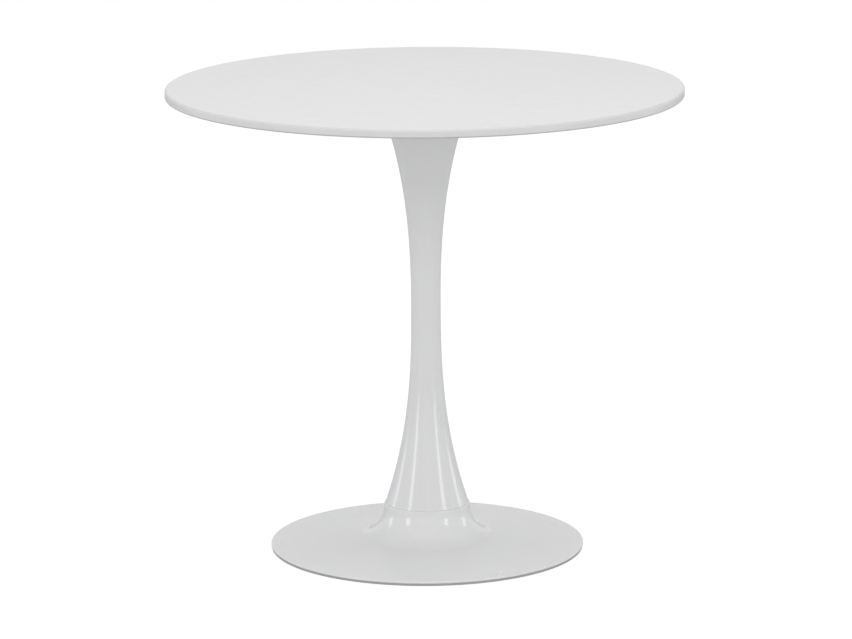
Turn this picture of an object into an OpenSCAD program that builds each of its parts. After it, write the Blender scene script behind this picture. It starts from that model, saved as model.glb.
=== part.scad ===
// Round pedestal table: a lacquered board on a double-flared steel column and a spun steel foot,
// clamped together by one threaded rod. Millimetres, Z up, origin on the floor under the column.

/* [Table top] */
// Diameter of the round top
top_d = 800; // [600:10:1000]
// Height of the upper surface above the floor
table_h = 730; // [700:5:760]
// Thickness of the board in the middle
top_t = 18; // [15:1:25]
// Height of the edge, where the underside is bevelled away
top_edge_t = 13; // [9:1:15]
// Width of the bevel on the underside
top_bevel_w = 45; // [20:5:80]
// Rounding of the upper arris
top_round = 3.5; // [2:0.5:5]
// Rounding of the lower arris
top_under_round = 2; // [1:0.5:3]

/* [Column] */
// Diameter at the waist
waist_d = 46; // [40:1:60]
// Diameter where the column meets the foot
column_foot_d = 130; // [110:1:130]
// Diameter of the mouth, where the column meets the mounting plate
column_mouth_d = 141; // [120:1:160]
// Height of the waist above the floor
waist_z = 381; // [350:1:420]
// How sharply the ends flare: the power of the distance from the waist
flare_power = 2.5; // [2:0.1:3]
// Wall of the column
column_wall = 1.5; // [1.2:0.1:2.5]

/* [Foot] */
// Diameter of the foot on the floor
foot_d = 490; // [440:5:560]
// Height of the seam between the foot and the column
seam_z = 70; // [55:1:90]
// Diameter of the collar just under the seam
collar_d = 134; // [132:1:160]
// Radial reach of the curve from the collar to the disc
collar_sweep = 43; // [30:1:60]
// Slope of the disc, in degrees
disc_slope = 4.5; // [3:0.5:7]
// Sheet that the foot is spun from
foot_sheet = 2; // [1.5:0.5:3]
// Thickness of the ring under the rim
floor_ring_t = 3; // [1:0.5:4]

/* [Fixings] */
// Diameter of the mounting plate
plate_d = 300; // [240:10:340]
// Thickness of the mounting plate
plate_t = 4; // [3:0.5:6]
// Number of screws that hold the board
screw_count = 8; // [4:1:8]
// Diameter of the threaded rod
rod_d = 12; // [10:1:16]
// Number of stiffening ribs welded under the foot
rib_count = 6; // [3:1:8]

/* [Hidden] */
RIBS = [for (i = [1:rib_count]) str("rib_", i)];

$fn = 64;
WHITE_LACQUER = [0.90, 0.90, 0.90];
WHITE_GLOSS = [0.84, 0.84, 0.84];
ZINC = [0.70, 0.71, 0.72];
THIN_WHITE = [0.74, 0.74, 0.73];
SOFT_GREY = [0.42, 0.42, 0.43];

fit_gap = 0.3;          // between a welded or located piece and the wall that it follows
thread_gap = 0.05;      // all round a screw or rod in its thread

// Heights, from the top down
board_z = table_h - top_t;              // underside of the board
plate_z = board_z - plate_t;            // underside of the mounting plate, where the column ends

// Column
waist_r = waist_d / 2;
column_foot_end = [column_foot_d / 2, seam_z];
column_mouth_end = [column_mouth_d / 2, plate_z];
column_steps = 56;

// Foot: an ellipse from the collar runs into a straight slope, which ends in a hemmed rim
collar_r = collar_d / 2;
collar_round = 2.5;                     // bend at the top of the collar
flange_in_r = 50;                       // opening in the collar's turned-in flange
hem_r = foot_sheet;                     // the rim is the sheet folded flat under itself
hem_w = 12;
rim_r = foot_d / 2;
rim_top_z = floor_ring_t + 2 * hem_r;
hem_centre = [rim_r - hem_r, floor_ring_t + hem_r];
sweep_centre = [collar_r + collar_sweep, seam_z - collar_round];
sweep_rise = sqrt(pow(sweep_centre[1] - disc_z(sweep_centre[0]), 2)
                  - pow(collar_sweep * tan(disc_slope), 2));
sweep_end = atan(sweep_rise / (collar_sweep * tan(disc_slope)));
sheet_drop = foot_sheet / cos(disc_slope);

// Rings that centre the column
ring_wall = 3;
ring_h = 12;
top_ring_r = column_in_r(plate_z - ring_h) - fit_gap;
base_ring_r = column_in_r(seam_z + ring_h) - fit_gap;

// Hub plate, wedged and welded inside the sweep of the foot
hub_z = 34;
hub_t = 5;
hub_r = sweep_r(hub_z + hub_t, foot_sheet) - fit_gap;

// Threaded rod and what clamps it
rod_r = rod_d / 2;
rod_hole_r = rod_r + 0.5;
rod_end_z = 13;
rod_top_z = plate_z - 2;
boss_r = rod_r + 7;
boss_h = 22;
clamp_washer_r = 25;
clamp_washer_t = 3;
lock_washer_r = rod_r + 4.6;
lock_washer_t = 3;
nut_flats = 1.5 * rod_d + 1;
nut_h = round(0.85 * rod_d);
nut_z = hub_z - clamp_washer_t - lock_washer_t - nut_h;

// Screws, washers and inserts that hold the board
screw_circle_r = plate_d / 2 - 18;
screw_r = 3;
screw_hole_r = 3.5;
screw_head_r = 5.25;
screw_head_h = 3.3;
screw_socket_flats = 4;
screw_socket_depth = 2;
screw_length = 16;
washer_r = 6.25;
washer_t = 1.6;
screw_seat_z = plate_z - washer_t;
insert_r = 4.5;
insert_length = 12;
insert_flange_r = 6;
insert_flange_t = 1.2;
insert_gap = 0.05;

// Ribs, which start under the hub plate, clear of the washer
rib_t = 3;
rib_in_r = clamp_washer_r + 7;
rib_in_z = 14;
rib_out_r = rim_r - 30;
rib_out_z = floor_ring_t + 1.5;
rib_gap = foot_sheet + fit_gap;
rib_sweep_start = asin((sweep_centre[1] - hub_z) / (sweep_rise + rib_gap));

// The end of the column, [radius, height], that the height z lies towards
function nearer_end(z) = z > waist_z ? column_mouth_end : column_foot_end;

// How far z lies from the waist (0) to that end (1)
function flare_share(z) = (z - waist_z) / (nearer_end(z)[1] - waist_z);

// Outer radius of the column at height z
function column_r(z) =
    waist_r + (nearer_end(z)[0] - waist_r) * pow(flare_share(z), flare_power);

// How fast that radius changes with height
function column_slope(z) =
    (nearer_end(z)[0] - waist_r) * flare_power / (nearer_end(z)[1] - waist_z)
    * pow(flare_share(z), flare_power - 1);

// Inner radius, for a wall of even thickness
function column_in_r(z) = column_r(z) - column_wall * sqrt(1 + pow(column_slope(z), 2));

// Radius of the sweep at height z, grown into the sheet by an offset
function sweep_r(z, offset) =
    sweep_centre[0] - (collar_sweep + offset) * cos(asin((sweep_centre[1] - z) / (sweep_rise + offset)));

// Upper surface of the foot's straight slope at radius r
function disc_z(r) = rim_top_z + (rim_r - hem_r - r) * tan(disc_slope);

// Points on a circular arc, from one angle to another
function arc(centre, r, from, to, steps = 8) =
    [for (i = [0:steps]) let (a = from + (to - from) * i / steps) centre + r * [cos(a), sin(a)]];

// Points on the sweep of the foot, grown into the sheet by an offset; angle 0 is at the collar
function sweep(offset, from, to, steps = 20) =
    [for (i = [0:steps]) let (a = from + (to - from) * i / steps)
        sweep_centre - [(collar_sweep + offset) * cos(a), (sweep_rise + offset) * sin(a)]];

function reversed(points) = [for (i = [len(points) - 1:-1:0]) points[i]];

module ring_of(count, radius) {
    for (i = [0:count - 1])
        rotate([0, 0, (i + 0.5) * 360 / count])
            translate([radius, 0, 0])
                children();
}

module tube(outer, inner, height) {
    difference() {
        cylinder(r = outer, h = height);
        translate([0, 0, -1])
            cylinder(r = inner, h = height + 2);
    }
}

module around_screws() {
    ring_of(screw_count, screw_circle_r) children();
}

// Board: flat above, bevelled below, with blind holes for the inserts
module table_top() {
    edge_z = table_h - top_edge_t;
    top_r = top_d / 2;
    outline = concat(
        [[0, board_z], [top_r - top_bevel_w, board_z]],
        arc([top_r - top_under_round, edge_z + top_under_round], top_under_round, -90, 0),
        arc([top_r - top_round, table_h - top_round], top_round, 0, 90),
        [[0, table_h]]
    );
    color(WHITE_LACQUER)
        difference() {
            rotate_extrude() polygon(outline);
            around_screws()
                translate([0, 0, board_z - 1]) {
                    cylinder(r = insert_r + insert_gap, h = insert_length + 1.5);
                    cylinder(r = insert_flange_r + insert_gap, h = insert_flange_t + 1);
                }
        }
}

// Flanged sleeve that a screw turns into
module threaded_inserts() {
    color(ZINC)
        around_screws()
            translate([0, 0, board_z])
                difference() {
                    union() {
                        cylinder(r = insert_r, h = insert_length);
                        cylinder(r = insert_flange_r, h = insert_flange_t);
                    }
                    translate([0, 0, -1])
                        cylinder(r = screw_r + thread_gap, h = insert_length + 2);
                }
}

// Round plate under the board, with a screw hole for each insert and a hole for the rod
module mounting_plate() {
    color(WHITE_GLOSS)
        translate([0, 0, plate_z])
            difference() {
                cylinder(r = plate_d / 2, h = plate_t);
                translate([0, 0, -1])
                    cylinder(r = rod_hole_r, h = plate_t + 2);
                around_screws()
                    translate([0, 0, -1])
                        cylinder(r = screw_hole_r, h = plate_t + 2);
            }
}

// Low-headed screws with a hexagon socket, driven upwards
module plate_screws() {
    color(ZINC)
        around_screws()
            translate([0, 0, screw_seat_z])
                difference() {
                    union() {
                        cylinder(r = screw_r, h = screw_length);
                        translate([0, 0, -screw_head_h])
                            cylinder(r1 = screw_head_r * 0.7, r2 = screw_head_r, h = screw_head_h * 0.55);
                        translate([0, 0, -screw_head_h * 0.45])
                            cylinder(r = screw_head_r, h = screw_head_h * 0.45);
                    }
                    translate([0, 0, -screw_head_h - 1])
                        cylinder(r = screw_socket_flats / sqrt(3), h = screw_socket_depth + 1, $fn = 6);
                }
}

module plate_washers() {
    color(ZINC)
        around_screws()
            translate([0, 0, screw_seat_z])
                tube(washer_r, screw_r + 0.2, washer_t);
}

// Welded nut under the plate, which the rod turns into
module rod_boss() {
    color(WHITE_GLOSS)
        translate([0, 0, plate_z - boss_h])
            tube(boss_r, rod_r + thread_gap, boss_h);
}

// Ring welded under the plate, which centres the mouth of the column
module top_locating_ring() {
    color(WHITE_GLOSS)
        translate([0, 0, plate_z - ring_h])
            tube(top_ring_r, top_ring_r - ring_wall, ring_h);
}

// Hollow column, flared at both ends
module column() {
    heights = [for (i = [0:column_steps]) seam_z + (plate_z - seam_z) * i / column_steps];
    outside = [for (z = heights) [column_r(z), z]];
    inside = [for (z = heights) [column_in_r(z), z]];
    color(WHITE_GLOSS)
        rotate_extrude() polygon(concat(outside, reversed(inside)));
}

// Threaded rod that pulls the board's plate and the foot together
module tie_rod() {
    lead_in = 1.5;
    straight = rod_top_z - rod_end_z - 2 * lead_in;
    color(ZINC)
        translate([0, 0, rod_end_z]) {
            cylinder(r1 = rod_r - lead_in, r2 = rod_r, h = lead_in);
            translate([0, 0, lead_in])
                cylinder(r = rod_r, h = straight);
            translate([0, 0, lead_in + straight])
                cylinder(r1 = rod_r, r2 = rod_r - lead_in, h = lead_in);
        }
}

// Spun foot: flange, rounded shoulder, sweep, slope and hemmed rim, all one sheet
module base_shell() {
    shoulder = [collar_r - collar_round, seam_z - collar_round];
    hem_in_r = rim_r - hem_r - hem_w;
    outline = concat(
        [[flange_in_r, seam_z]],
        arc(shoulder, collar_round, 90, 0),
        sweep(0, 0, sweep_end),
        arc(hem_centre, hem_r, 90 - disc_slope, -90),
        [[hem_in_r, floor_ring_t], [hem_in_r, disc_z(hem_in_r) - sheet_drop]],
        reversed(sweep(foot_sheet, 0, sweep_end)),
        [[collar_r - collar_round, seam_z - foot_sheet], [flange_in_r, seam_z - foot_sheet]]
    );
    color(WHITE_GLOSS)
        rotate_extrude() polygon(outline);
}

// Ring welded on the collar's flange, which centres the lower end of the column
module base_locating_ring() {
    color(WHITE_GLOSS)
        translate([0, 0, seam_z])
            tube(base_ring_r, base_ring_r - ring_wall, ring_h);
}

// Disc that carries the pull of the rod into the foot
module hub_plate() {
    color(THIN_WHITE)
        translate([0, 0, hub_z])
            tube(hub_r, rod_hole_r, hub_t);
}

// Upright plate under the foot, welded to the hub plate and to the sheet above it
module rib(index) {
    under_slope = disc_z(rib_out_r) - sheet_drop - fit_gap;
    outline = concat(
        [[rib_in_r, hub_z], [rib_in_r, rib_in_z], [rib_out_r, rib_out_z], [rib_out_r, under_slope]],
        reversed(sweep(rib_gap, rib_sweep_start, sweep_end, 10))
    );
    color(THIN_WHITE)
        rotate([0, 0, (index - 0.5) * 360 / rib_count])
            translate([0, rib_t / 2, 0])
                rotate([90, 0, 0])
                    linear_extrude(rib_t) polygon(outline);
}

module clamp_washer() {
    color(ZINC)
        translate([0, 0, hub_z - clamp_washer_t])
            tube(clamp_washer_r, rod_hole_r, clamp_washer_t);
}

// Split spring washer, drawn flat as it lies when tight
module lock_washer() {
    slit = 1.5;
    color(ZINC)
        translate([0, 0, hub_z - clamp_washer_t - lock_washer_t])
            difference() {
                tube(lock_washer_r, rod_r + 0.3, lock_washer_t);
                translate([0, -slit / 2, -1])
                    cube([lock_washer_r + 1, slit, lock_washer_t + 2]);
            }
}

// Hexagon nut with its corners turned off
module rod_nut() {
    corner_r = nut_flats / sqrt(3);
    turned = 1.2;
    color(ZINC)
        translate([0, 0, nut_z])
            difference() {
                intersection() {
                    cylinder(r = corner_r, h = nut_h, $fn = 6);
                    rotate_extrude()
                        polygon([
                            [0, 0], [corner_r - turned, 0], [corner_r, turned * 0.6],
                            [corner_r, nut_h - turned * 0.6], [corner_r - turned, nut_h], [0, nut_h]
                        ]);
                }
                translate([0, 0, -1])
                    cylinder(r = rod_r + thread_gap, h = nut_h + 2);
            }
}

// Soft ring under the hem, which the table stands on
module floor_ring() {
    ring_out_r = rim_r - 0.8;
    ring_in_r = rim_r - hem_w;
    color(SOFT_GREY)
        tube(ring_out_r, ring_in_r, floor_ring_t);
}

table_top();
threaded_inserts();
mounting_plate();
plate_screws();
plate_washers();
rod_boss();
top_locating_ring();
column();
tie_rod();
base_shell();
base_locating_ring();
hub_plate();
clamp_washer();
lock_washer();
rod_nut();
floor_ring();
for (i = [1:rib_count])
    rib(i);
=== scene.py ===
# %% [markdown]
# # A round pedestal table
# A white lacquered board stands on a hollow steel column, flared at both ends, and on a wide foot spun
# from one sheet of steel. A threaded rod inside the column clamps the three together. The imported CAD
# model gives every size and place, so the lesson starts by loading it. Then each part gets the surface
# that a maker would give it: soft edges, threads, welds, paint and lacquer.

# %% Load the frame
import math

import bpy
import numpy as np
from mathutils import Matrix, Vector


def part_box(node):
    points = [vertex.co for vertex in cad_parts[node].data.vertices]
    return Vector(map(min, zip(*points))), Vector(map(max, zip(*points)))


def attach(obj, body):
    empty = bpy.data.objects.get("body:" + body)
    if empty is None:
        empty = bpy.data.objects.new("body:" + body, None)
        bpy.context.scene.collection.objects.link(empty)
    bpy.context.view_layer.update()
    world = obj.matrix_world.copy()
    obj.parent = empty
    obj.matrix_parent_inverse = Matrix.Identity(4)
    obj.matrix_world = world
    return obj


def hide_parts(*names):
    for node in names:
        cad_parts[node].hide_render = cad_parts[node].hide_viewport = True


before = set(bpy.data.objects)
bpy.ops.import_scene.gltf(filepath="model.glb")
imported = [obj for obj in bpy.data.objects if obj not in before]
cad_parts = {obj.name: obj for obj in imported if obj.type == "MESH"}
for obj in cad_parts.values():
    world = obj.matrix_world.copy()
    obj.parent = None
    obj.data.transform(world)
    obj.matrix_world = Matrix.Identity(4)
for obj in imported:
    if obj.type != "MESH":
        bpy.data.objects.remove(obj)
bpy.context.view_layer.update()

# %% [markdown]
# ## The camera
# The table is seen from a little above the board, so that the upper face is a thin ellipse and the foot
# a wider one. The long lens stands almost seven metres away and keeps the two ellipses calm. The camera
# leans by a third of a degree, as a hand-set tripod does.

# %% Camera
CAMERA_PLACE = (0.0, -6.756, 1.8233)
CAMERA_PITCH = 12.205   # degrees below the horizontal
CAMERA_ROLL = -0.335    # degrees about the line of sight
CAMERA_LENS = 187.585   # millimetres, on a sensor 36 mm wide

camera = bpy.data.objects.new("camera", bpy.data.cameras.new("camera"))
camera.data.sensor_width = 36.0
camera.data.lens = CAMERA_LENS
camera.data.clip_end = 200.0
camera.data.dof.use_dof = False
tilt = Matrix.Rotation(math.radians(90 - CAMERA_PITCH), 4, "X")
roll = Matrix.Rotation(math.radians(CAMERA_ROLL), 4, "Z")
camera.matrix_world = Matrix.Translation(CAMERA_PLACE) @ tilt @ roll
bpy.context.collection.objects.link(camera)
bpy.context.scene.camera = camera
print(f"camera {-CAMERA_PLACE[1]:.2f} m away, lens {camera.data.lens:.0f} mm")

# %% [markdown]
# ## Sizes
# Boxes of the CAD parts give the heights and radii. What a box can't tell, such as the waist of the
# column or the opening in the foot's flange, is read from the points that the CAD mesh has near that
# height. The few sizes that no box or point can give are named here in millimetres.

# %% Sizes from the frame
MM = 0.001


def reach(node):
    """Outer radius of a part that stands on the upright axis: half the width of its box."""
    low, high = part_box(node)
    return (high.x - low.x) / 2


def levels(node):
    """Lowest and highest point of a part."""
    low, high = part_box(node)
    return low.z, high.z


def points_of(node):
    """Distance from the upright axis and height of every point of a CAD part, as two arrays."""
    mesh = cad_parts[node].data
    flat = np.empty(len(mesh.vertices) * 3, dtype=np.float32)
    mesh.vertices.foreach_get("co", flat)
    x, y, z = flat.reshape(-1, 3).astype(float).T
    return np.hypot(x, y), z


board_r = reach("table_top")
board_low, board_high = levels("table_top")
plate_r = reach("mounting_plate")
plate_low, plate_high = levels("mounting_plate")
seam_z, mouth_z = levels("column")
rim_r = reach("base_shell")
ring_low, ring_high = levels("floor_ring")
hub_r = reach("hub_plate")
hub_low = levels("hub_plate")[0]
print(f"board {board_r:.3f}, plate {plate_r:.3f}, foot {rim_r:.3f}, hub {hub_r:.4f} metres in radius")

# %% Sizes from points of the CAD meshes
WAIST_Z = 381 * MM      # height of the column's waist
FLARE_POWER = 2.5       # how sharply the column's ends flare
AT_EDGE = 0.1 * MM      # points nearer than this to an edge lie on it
AT_WAIST = 8 * MM       # the same for the waist, where the radius hardly changes

column_radii, column_heights = points_of("column")
waist_r = column_radii[np.abs(column_heights - WAIST_Z) < AT_WAIST].max()
column_foot_r = column_radii[column_heights < seam_z + AT_EDGE].max()
column_mouth_r = column_radii[column_heights > mouth_z - AT_EDGE].max()
shell_radii, shell_heights = points_of("base_shell")
flange_in_r = shell_radii[shell_heights > seam_z - AT_EDGE].min()
print(f"column {column_foot_r:.4f} to {waist_r:.4f} to {column_mouth_r:.4f}, flange {flange_in_r:.4f}")

# %% [markdown]
# ## Outlines
# Almost every part of this table is turned, spun or drilled, so its shape is an outline carried round
# an axis. Real edges are never knife sharp, and a soft edge catches a thin light that tells the eye what
# the thing is made of. A corner could be rounded with a bevel on the finished mesh, but an outline is
# only a row of points, so it is rounded before it is turned. Next to each rounding stays one more point
# that keeps the flat face beside it flat when it is shaded smooth.

# %% Rounding an outline
def bend(a, corner, b, steps=4):
    """Curve from a to b that a corner pulls at: (1 - t)^2 a + 2 t (1 - t) corner + t^2 b. Arrays of
    points give one curve for each."""
    t = np.linspace(0, 1, steps + 1)[:, None]
    a, corner, b = (np.asarray(point, float)[..., None, :] for point in (a, corner, b))
    return (1 - t) ** 2 * a + 2 * t * (1 - t) * corner + t**2 * b


def softened(corners, cut, steps=4, hold=0.3, closed=True):
    """Outline with a bend at every corner. The bend starts and ends `cut` away from the corner, and a
    holding point stands a little further out on each side. An open outline keeps its two ends."""
    corners = np.asarray(corners, float)
    around = np.vstack([corners[-1:], corners, corners[:1]]) if closed else corners
    here = around[1:-1]
    cut = np.broadcast_to(np.asarray(cut, float), len(here))[:, None]
    back = around[:-2] - here
    ahead = around[2:] - here
    back = cut * back / np.linalg.norm(back, axis=1, keepdims=True)
    ahead = cut * ahead / np.linalg.norm(ahead, axis=1, keepdims=True)
    before = (here + (1 + hold) * back)[:, None]
    after = (here + (1 + hold) * ahead)[:, None]
    curve = bend(here + back, here, here + ahead, steps)
    soft = np.concatenate([before, curve, after], axis=1).reshape(-1, 2)
    return soft if closed else np.vstack([corners[:1], soft, corners[-1:]])


def arc(centre, radius, start, stop, steps):
    """Points centre + radius (cos a, sin a), with a going from start to stop in degrees."""
    a = np.radians(np.linspace(start, stop, steps + 1))
    return np.column_stack([centre[0] + radius * np.cos(a), centre[1] + radius * np.sin(a)])


soft_square = softened([(0, 0), (1, 0), (1, 1), (0, 1)], 0.2)
print("a square with soft corners has", len(soft_square), "points")

# %% [markdown]
# ## From outlines to meshes
# A shape is a pair: an array of points and a list of arrays of faces. The helper `wrapped` takes two
# grids, the radius and the height for each outline point and each angle. The plain turned body is the
# case where both stay the same all the way round; a thread or a hexagon lets the radius change with the
# angle. Outlines run with the solid on their left, outwards along the underside and up the outside, so
# that every face looks outwards.

# %% Shapes round the upright axis
def angles(columns):
    """Evenly spaced angles round the axis, starting at +X."""
    return np.arange(columns) * 2 * np.pi / columns


def spread(outline, columns):
    """An outline as two grids, radius and height, that are the same at every angle."""
    outline = np.asarray(outline, float)
    return np.repeat(outline[:, :1], columns, axis=1), np.repeat(outline[:, 1:], columns, axis=1)


def woven(number):
    """Faces between neighbouring rows of a grid of point numbers, whose last column meets the first."""
    beside = np.roll(number, -1, axis=1)
    return np.stack([number[:-1], beside[:-1], beside[1:], number[1:]], axis=-1).reshape(-1, 4)


def wrapped(radius, height, poles=False):
    """Point (i, j) is (radius cos a, radius sin a, height) at outline point i and angle a of column j.
    The outline is closed, or with poles it starts and ends on the axis, in one point each."""
    if poles:
        ends = np.array([[0, 0, height[0, 0]], [0, 0, height[-1, 0]]])
        radius, height = radius[1:-1], height[1:-1]
    a = angles(radius.shape[1])
    points = np.stack([radius * np.cos(a), radius * np.sin(a), height], axis=-1).reshape(-1, 3)
    number = np.arange(radius.size).reshape(radius.shape)
    if not poles:
        return points, [woven(np.vstack([number, number[:1]]))]
    beside = np.roll(number, -1, axis=1)
    first = np.full(len(a), len(points))
    first_fan = np.stack([first, beside[0], number[0]], axis=-1)
    last_fan = np.stack([number[-1], beside[-1], first + 1], axis=-1)
    return np.vstack([points, ends]), [woven(number), first_fan, last_fan]


def turned(outline, columns, poles=False):
    """An outline turned about the upright axis."""
    return wrapped(*spread(outline, columns), poles)


def ring_copies(shape, count, radius):
    """The shape moved out by `radius` along X, then turned about the axis, `count` times, by (k + 1/2)
    steps of a full turn."""
    points, faces = shape
    a = (np.arange(count) + 0.5)[:, None] * 2 * np.pi / count
    x, y, z = (points + [radius, 0, 0]).T
    spun = np.stack([x * np.cos(a) - y * np.sin(a), x * np.sin(a) + y * np.cos(a), z + 0 * a], axis=-1)
    step = (np.arange(count) * len(points))[:, None, None]
    return spun.reshape(-1, 3), [(rows[None] + step).reshape(-1, rows.shape[1]) for rows in faces]


# %% Objects from shapes
pieces_of_slot = {}


def solid(name, *shapes, crease=None):
    """Mesh object at the origin from one or more shapes. Edges that turn by more than `crease` degrees
    are shaded sharp, all others smooth."""
    starts = np.cumsum([0] + [len(points) for points, _ in shapes])
    points = np.concatenate([points for points, _ in shapes])
    faces = [rows + start for (_, sets), start in zip(shapes, starts) for rows in sets]
    sides = np.concatenate([np.full(len(rows), rows.shape[1]) for rows in faces])
    mesh = bpy.data.meshes.new(name)
    mesh.vertices.add(len(points))
    mesh.vertices.foreach_set("co", points.astype(np.float32).ravel())
    mesh.loops.add(int(sides.sum()))
    corners = np.concatenate([rows.ravel() for rows in faces])
    mesh.loops.foreach_set("vertex_index", corners.astype(np.int32))
    mesh.polygons.add(len(sides))
    mesh.polygons.foreach_set("loop_start", (np.cumsum(sides) - sides).astype(np.int32))
    mesh.polygons.foreach_set("use_smooth", np.ones(len(sides), dtype=bool))
    mesh.update(calc_edges=True)
    mesh.validate()
    if crease is not None:
        mesh.set_sharp_from_angle(angle=math.radians(crease))
    made = bpy.data.objects.new(name, mesh)
    bpy.context.collection.objects.link(made)
    return made


def hand_over(made, slot, *nodes):
    """The finished object rides on the table's only body, takes its finish from a slot of the record,
    and stands for these CAD nodes."""
    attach(made, "root")
    if nodes:
        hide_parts(*nodes)
    pieces_of_slot.setdefault(slot, []).append(made)
    print(f"{made.name}: {len(made.data.polygons)} faces")
    return made


def drilled(body, drill, crease):
    """Takes the drill's shape out of the body with an exact boolean and throws the drill away. Edges
    that turn by more than `crease` degrees are shaded sharp."""
    cut = body.modifiers.new("drill", "BOOLEAN")
    cut.operation = "DIFFERENCE"
    cut.solver = "EXACT"
    cut.object = drill
    graph = bpy.context.evaluated_depsgraph_get()
    whole = body.data
    body.data = bpy.data.meshes.new_from_object(body.evaluated_get(graph))
    body.modifiers.clear()
    bpy.data.meshes.remove(whole)
    bpy.data.meshes.remove(drill.data)
    body.data.set_sharp_from_angle(angle=math.radians(crease))


# %% [markdown]
# ## The board
# The board is pressed fibre, lacquered white. Its upper arris is rounded a little more than the lower
# one, and a wide, shallow bevel underneath makes it look thinner than it is. Eight blind holes in the
# underside take the threaded inserts. A scaled cylinder with a bevel would do for the rim, but not for
# the underside, so the whole section is drawn and turned, and the holes are drilled with a boolean that
# meets only one narrow band of faces.

# %% The board
BEVEL_WIDTH = 45 * MM
EDGE_HEIGHT = 13 * MM
UPPER_ARRIS = 3.5 * MM
LOWER_ARRIS = 2 * MM
BEVEL_EASE = 3 * MM     # how far the start of the bevel is rounded
SCREW_COUNT = 8
SCREW_CIRCLE = plate_r - 18 * MM
DRILLED_BAND = 14 * MM  # half the width of the ring of faces that the holes may cut

bevel_start = board_r - BEVEL_WIDTH
bevel_slope = (board_high - EDGE_HEIGHT - board_low) / (BEVEL_WIDTH - LOWER_ARRIS)
lower_centre = (board_r - LOWER_ARRIS, board_high - EDGE_HEIGHT + LOWER_ARRIS)
upper_centre = (board_r - UPPER_ARRIS, board_high - UPPER_ARRIS)
lower_bend = arc(lower_centre, LOWER_ARRIS, math.degrees(math.atan(bevel_slope)) - 90, 0, 8)
underside_radii = (0, SCREW_CIRCLE - DRILLED_BAND, SCREW_CIRCLE + DRILLED_BAND, 0.24)
upper_radii = (board_r - 6 * MM, 0.36, 0.28, 0.18, 0.08, 0)
board_outline = np.vstack([
    [(r, board_low) for r in underside_radii],
    bend((bevel_start - BEVEL_EASE, board_low), (bevel_start, board_low),
         (bevel_start + BEVEL_EASE, board_low + BEVEL_EASE * bevel_slope)),
    lower_bend[:1] - [1 * MM, 1 * MM * bevel_slope],
    lower_bend,
    arc(upper_centre, UPPER_ARRIS, 0, 90, 12),
    [(r, board_high) for r in upper_radii],
])
board = solid("lacquered_board", turned(board_outline, 288, poles=True))

insert_hole_mm = [(0, -1), (6.05, -1), (6.05, 1.2), (4.55, 1.2), (4.55, 12.5), (0, 12.5)]
insert_hole = turned(np.array(insert_hole_mm) * MM + [0, board_low], 32, poles=True)
drill = solid("insert_drill", ring_copies(insert_hole, SCREW_COUNT, SCREW_CIRCLE))
drilled(board, drill, crease=35)
hand_over(board, "board_lacquer", "table_top")

# %% [markdown]
# ## The column
# The column is a thin tube, drawn in at the waist and flared at both ends. Its radius grows from the
# waist with the power 2.5 of the distance, which is flat at the waist and runs into the foot and the
# mouth like the neck of a bottle. A few rings and a subdivision surface would come close, but the
# formula is exact and smooth at any number of rings, and the CAD points can be held against it.

# %% The column
COLUMN_WALL = 1.5 * MM
COLUMN_EDGE = 0.5 * MM


def column_radius(z):
    """waist + (end - waist) share^2.5, where share is the distance from the waist over that to the end."""
    end_r = np.where(z > WAIST_Z, column_mouth_r, column_foot_r)
    end_z = np.where(z > WAIST_Z, mouth_z, seam_z)
    return waist_r + (end_r - waist_r) * ((z - WAIST_Z) / (end_z - WAIST_Z)) ** FLARE_POWER


def column_inner_radius(z):
    """The radius less the wall, which a leaning wall cuts longer: wall sqrt(1 + slope^2)."""
    slope = (column_radius(z + 0.01 * MM) - column_radius(z - 0.01 * MM)) / (0.02 * MM)
    return column_radius(z) - COLUMN_WALL * np.sqrt(1 + slope**2)


column_z = np.linspace(seam_z + COLUMN_EDGE, mouth_z - COLUMN_EDGE, 161)
outside = np.column_stack([column_radius(column_z), column_z])
inside = np.column_stack([column_inner_radius(column_z), column_z])[::-2]
mouth_in, foot_in = inside[0][0], inside[-1][0]
column_outline = np.vstack([
    outside,
    bend(outside[-1], (column_mouth_r, mouth_z), (column_mouth_r - COLUMN_EDGE, mouth_z))[1:],
    bend((mouth_in + COLUMN_EDGE, mouth_z), (mouth_in, mouth_z), inside[0])[:-1],
    inside,
    bend(inside[-1], (foot_in, seam_z), (foot_in + COLUMN_EDGE, seam_z))[1:],
    bend((column_foot_r - COLUMN_EDGE, seam_z), (column_foot_r, seam_z), outside[0])[:-1],
])
hand_over(solid("painted_column", turned(column_outline, 160)), "column_paint", "column")
outer_points = column_radii > column_inner_radius(column_heights) + COLUMN_WALL / 2
gap = np.abs(column_radii - column_radius(column_heights))[outer_points].max()
print(f"the CAD column lies at most {gap / MM:.3f} mm from the formula")

# %% [markdown]
# ## The foot
# The foot is spun from one sheet, two millimetres thick. A flange turned inwards carries the column,
# a short collar runs down into a wide sweep, and the sweep into a straight, shallow slope. At the rim the
# sheet is folded back under itself, which leaves a narrow wedge between its two layers. Solidify could
# give a single surface its thickness, but the fold needs both faces of the sheet, so the closed section
# is drawn as the spinner would see it, and turned.

# %% The foot
SHEET = 2 * MM
COLLAR_R = 67 * MM
SHOULDER = 2.5 * MM
SWEEP_REACH = 43 * MM
SLOPE = math.radians(4.5)
HEM_WIDTH = 12 * MM

hem_centre = np.array([rim_r - SHEET, ring_high + SHEET])
sweep_centre = np.array([COLLAR_R + SWEEP_REACH, seam_z - SHOULDER])


def slope_height(r):
    """Upper face of the slope: the top of the rolled rim plus (rim - r) tan(slope)."""
    return hem_centre[1] + SHEET + (hem_centre[0] - r) * math.tan(SLOPE)


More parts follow.
